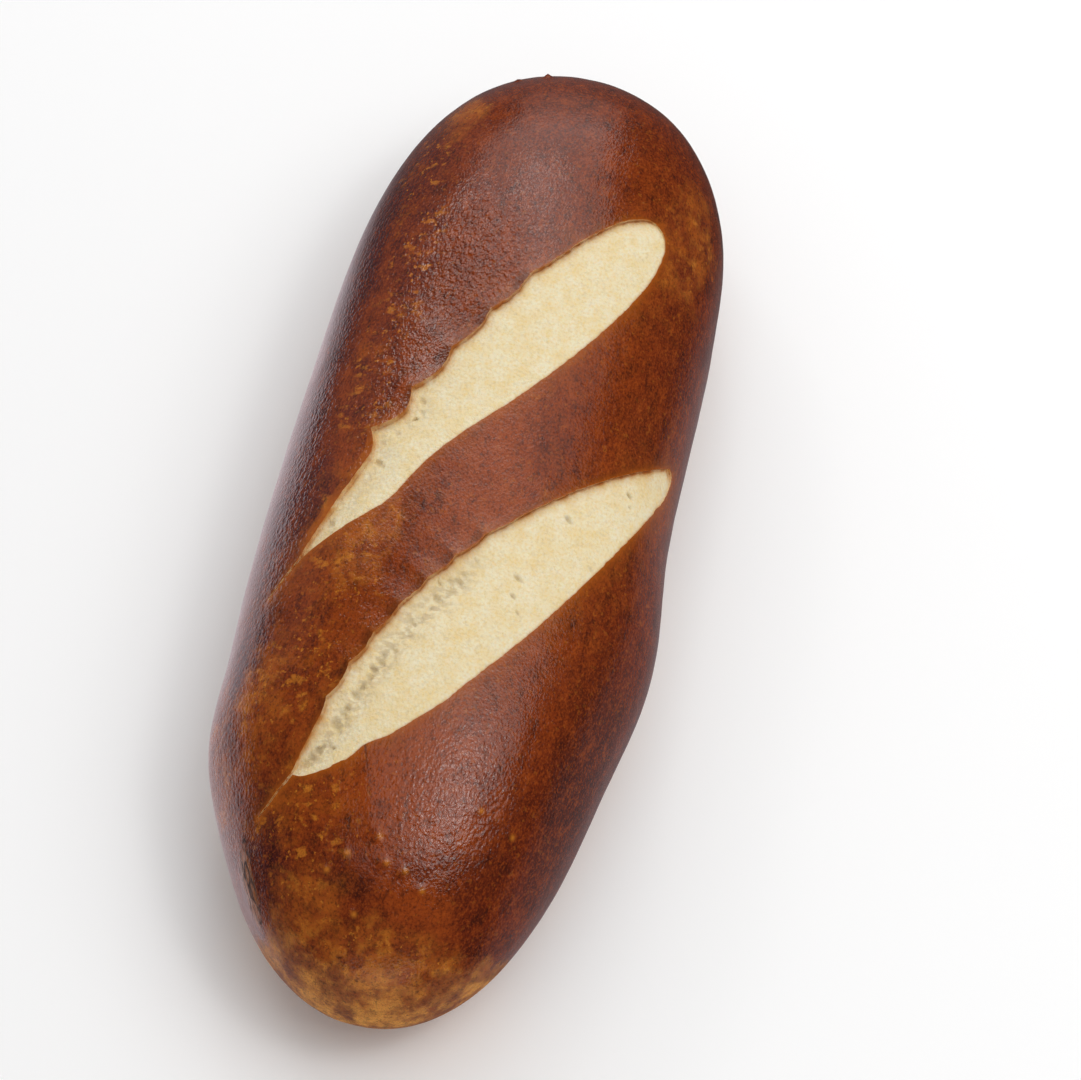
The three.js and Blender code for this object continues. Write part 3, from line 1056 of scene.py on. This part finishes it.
WIDE_SLASH = (0.8 * MM, 2 * MM)  # from a hairline crack to an open slash
BELOW_EAR_REACH = 1 * MM
EAR_TOAST = 0.22 * MM
FOOT_TOAST = 0.16 * MM
CRUMB_ROUGHNESS = 0.75
CRUMB_SPECULAR = 0.3
CRUMB_GLOW = 0.2
CRUMB_GLOW_REACH = (3 * MM, 2 * MM, 1 * MM)
CRUMB_GRAIN_HEIGHT = 0.12 * MM


def crumb_masks(tree):
    """Every mask that the crumb's colour and relief are made from, by its name."""
    from_ear = attribute(tree, "from_ear")
    from_foot = attribute(tree, "from_foot")
    wide = ease(from_ear + from_foot, *WIDE_SLASH)
    return {
        **{name: patches(tree, *values) for name, values in CRUMB_PATCHES.items()},
        "everywhere": 1,
        "web": attribute(tree, "web"),
        "pit": attribute(tree, "pit"),
        "wide": wide,
        "narrow": 1 - wide,
        "below the ear": fade(from_ear, BELOW_EAR_REACH),
        "ear edge": fade(from_ear, EAR_TOAST) * wide,
        "foot edge": fade(from_foot, FOOT_TOAST),
    }


def crumb_finish():
    material, tree, shader = new_finish("crumb")
    mask = crumb_masks(tree)
    feed(shader.inputs["Base Color"], stained(CREAM, CRUMB_STAINS, mask))
    shader.inputs["Roughness"].default_value = CRUMB_ROUGHNESS
    shader.inputs["Specular IOR Level"].default_value = CRUMB_SPECULAR
    shader.inputs["Subsurface Weight"].default_value = CRUMB_GLOW
    shader.inputs["Subsurface Radius"].default_value = CRUMB_GLOW_REACH
    shader.inputs["Subsurface Scale"].default_value = 1
    break_shine(shader, mask["grain"] * CRUMB_GRAIN_HEIGHT)
    return material


# The baked roll
# Crust and crumb are one piece of bread, so the whole roll is one mesh, lying on its sole where the
# solid lies.
def bake(name, tree, sizes):
    """A plain mesh from a tree, with the tree's named inputs set to the given sizes."""
    piece = bpy.data.objects.new(name, bpy.data.meshes.new(name))
    bpy.context.scene.collection.objects.link(piece)
    modifier = piece.modifiers.new(name, "NODES")
    modifier.node_group = tree
    for socket in tree.interface.items_tree:
        if socket.name in sizes:
            modifier[socket.identifier] = sizes[socket.name]
    shaped = piece.evaluated_get(bpy.context.evaluated_depsgraph_get())
    mesh = bpy.data.meshes.new_from_object(shaped)
    piece.modifiers.clear()
    piece.data = mesh
    return piece


roll = bake("roll_baked", roll_tree(crust_finish(), crumb_finish()), LOG_SIZES)
sides = [vertex.co.y for vertex in roll.data.vertices]
roll_middle = (min(sides) + max(sides)) / 2
roll.data.transform(Matrix.Translation((0, (lowest.y + highest.y) / 2 - roll_middle, 0)))
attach(roll, "root")
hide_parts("roll")

# The studio
# The roll lies on a white table in a dim room, and the camera looks down on its near end. Soft lamps hang
# behind the far end, above and to the right, under a bright ceiling, with screens on three sides.
CAMERA_AZIMUTH = math.radians(103.09)
CAMERA_ELEVATION = math.radians(61)
CAMERA_DISTANCE = 0.79
SENSOR_WIDTH = 36
FRAME_PIXELS = 1081
PIXELS_PER_MM = 5.656  # at the roll
FRAME_WIDTH = FRAME_PIXELS / PIXELS_PER_MM * MM
AIM_RIGHT = 12.03 * MM  # of the roll's middle
AIM_DOWN = 3.62 * MM
UP = Vector((0, 0, 1))
WHITE = (1, 1, 1)
LILAC = (1, 0.9, 0.97)
LAMPS = (  # place, the point it faces, width, height, brightness and tint
    ("lamp behind", (-0.86, -0.19, 0.82), (0, 0, 0), 0.16, 0.16, 3.2, WHITE),
    ("glow behind", (-0.92, -0.16, 0.76), (0, 0, 0), 0.95, 0.85, 0.9, WHITE),
    ("lamp behind on the left", (-0.69, -0.64, 0.74), (0, 0, 0), 0.2, 0.2, 4, WHITE),
    ("lamp above", (0.09, 0.48, 1), (0.09, 0.48, 0), 0.2, 0.2, 6, WHITE),
    ("glow above", (0.08, 0.5, 1), (0.08, 0.5, 0), 0.7, 0.7, 1.5, WHITE),
    ("lamp to the right", (-0.12, 1, 1), (-0.12, 1, 0), 0.6, 0.35, 1.2, WHITE),
    ("ceiling", (-0.24, 0.34, 1), (-0.24, 0.34, 0), 1.32, 1.26, 0.55, WHITE),
    ("screen to the left", (-0.8, -1.02, 0.42), (0, 0, 0), 1.1, 0.8, 0.15, LILAC),
    ("screen behind", (-1.6, -0.15, 0.42), (0, 0, 0), 0.9, 0.9, 0.4, WHITE),
    ("screen in front", (1.5, 0.3, 0.2), (0, 0, 0), 1.1, 0.5, 0.7, WHITE),
)
LAMP_POWER = 4  # for each square metre of a lamp and each step of its brightness
STRAIGHT_UP = 1e-6  # a lamp that is tilted less than this faces straight down
ROOM_LIGHT = 0.4
TABLE_SIZE = 3
TABLE_WHITE = 0.98
TABLE_ROUGHNESS = 0.6
LEFT_IN_SHINE = 1.2  # table and room as they show in the crust's shine, toned as by a filter
RIGHT_IN_SHINE = 0.28
PAST_ENDS_IN_SHINE = 0.1  # share of those tones that shows past the roll's ends
ROOM_IN_SHINE = 0.06
LEFT_TO_RIGHT = (-40 * MM, 40 * MM)
FAR_END_BAND = (-100 * MM, -40 * MM)
NEAR_END_BAND = (115 * MM, 85 * MM)


def look(right, up, back, place):
    """The placing of something that looks along -back, with its right and up as given."""
    turn = Matrix((right, up, back)).transposed()
    return Matrix.Translation(place) @ turn.to_4x4()


def make_camera():
    flat = math.cos(CAMERA_ELEVATION)
    back = Vector(
        (
            math.sin(CAMERA_AZIMUTH) * flat,
            -math.cos(CAMERA_AZIMUTH) * flat,
            math.sin(CAMERA_ELEVATION),
        )
    )
    right = UP.cross(back).normalized()
    up = back.cross(right)
    middle = Vector((0, -roll_middle, LOG_SIZES["Height"] / 2))
    place = middle + back * CAMERA_DISTANCE
    aim_back = (place - (middle + right * AIM_RIGHT - up * AIM_DOWN)).normalized()
    aim_right = (right - aim_back * right.dot(aim_back)).normalized()
    data = bpy.data.cameras.new("camera")
    data.sensor_width = SENSOR_WIDTH
    data.lens = SENSOR_WIDTH * CAMERA_DISTANCE / FRAME_WIDTH
    camera = bpy.data.objects.new("camera", data)
    camera.matrix_world = look(aim_right, aim_back.cross(aim_right), aim_back, place)
    bpy.context.scene.collection.objects.link(camera)
    bpy.context.scene.camera = camera


def make_lamp(name, place, faced, width, height, brightness, tint):
    data = bpy.data.lights.new(name, "AREA")
    data.shape = "RECTANGLE"
    data.size = width
    data.size_y = height
    data.energy = LAMP_POWER * width * height * brightness
    data.color = tint
    back = (Vector(place) - Vector(faced)).normalized()
    level = UP.cross(back)
    right = level.normalized() if level.length > STRAIGHT_UP else Vector((1, 0, 0))
    lamp = bpy.data.objects.new(name, data)
    lamp.matrix_world = look(right, back.cross(right), back, Vector(place))
    bpy.context.scene.collection.objects.link(lamp)


def make_room():
    world = bpy.data.worlds.new("room")
    world.use_nodes = True
    background = world.node_tree.nodes["Background"]
    background.inputs["Color"].default_value = (*WHITE, 1)
    in_shine = out(put(world.node_tree, "ShaderNodeLightPath"), "Is Glossy Ray")
    feed(background.inputs["Strength"], between(in_shine, ROOM_LIGHT, ROOM_IN_SHINE))
    bpy.context.scene.world = world
    bpy.context.scene.view_settings.view_transform = "Standard"


def make_table():
    half = TABLE_SIZE / 2
    mesh = bpy.data.meshes.new("table")
    corners = [(-half, -half, 0), (half, -half, 0), (half, half, 0), (-half, half, 0)]
    mesh.from_pydata(corners, [], [(0, 1, 2, 3)])
    material, tree, shader = new_finish("table")
    in_shine = out(put(tree, "ShaderNodeLightPath"), "Is Glossy Ray")
    along, across, _ = parts(on_piece(tree))
    toned = between(ease(across, *LEFT_TO_RIGHT), LEFT_IN_SHINE, RIGHT_IN_SHINE)
    beside = ease(along, *FAR_END_BAND) * ease(along, *NEAR_END_BAND)
    toned = toned * between(beside, PAST_ENDS_IN_SHINE, 1)
    white = between(in_shine, TABLE_WHITE, toned)
    tinted = (between(in_shine, white, white * part) for part in LILAC)
    feed(shader.inputs["Base Color"], vector(*tinted))
    shader.inputs["Roughness"].default_value = TABLE_ROUGHNESS
    mesh.materials.append(material)
    table = bpy.data.objects.new("table", mesh)
    bpy.context.scene.collection.objects.link(table)


make_camera()
for lamp in LAMPS:
    make_lamp(*lamp)
make_room()
make_table()
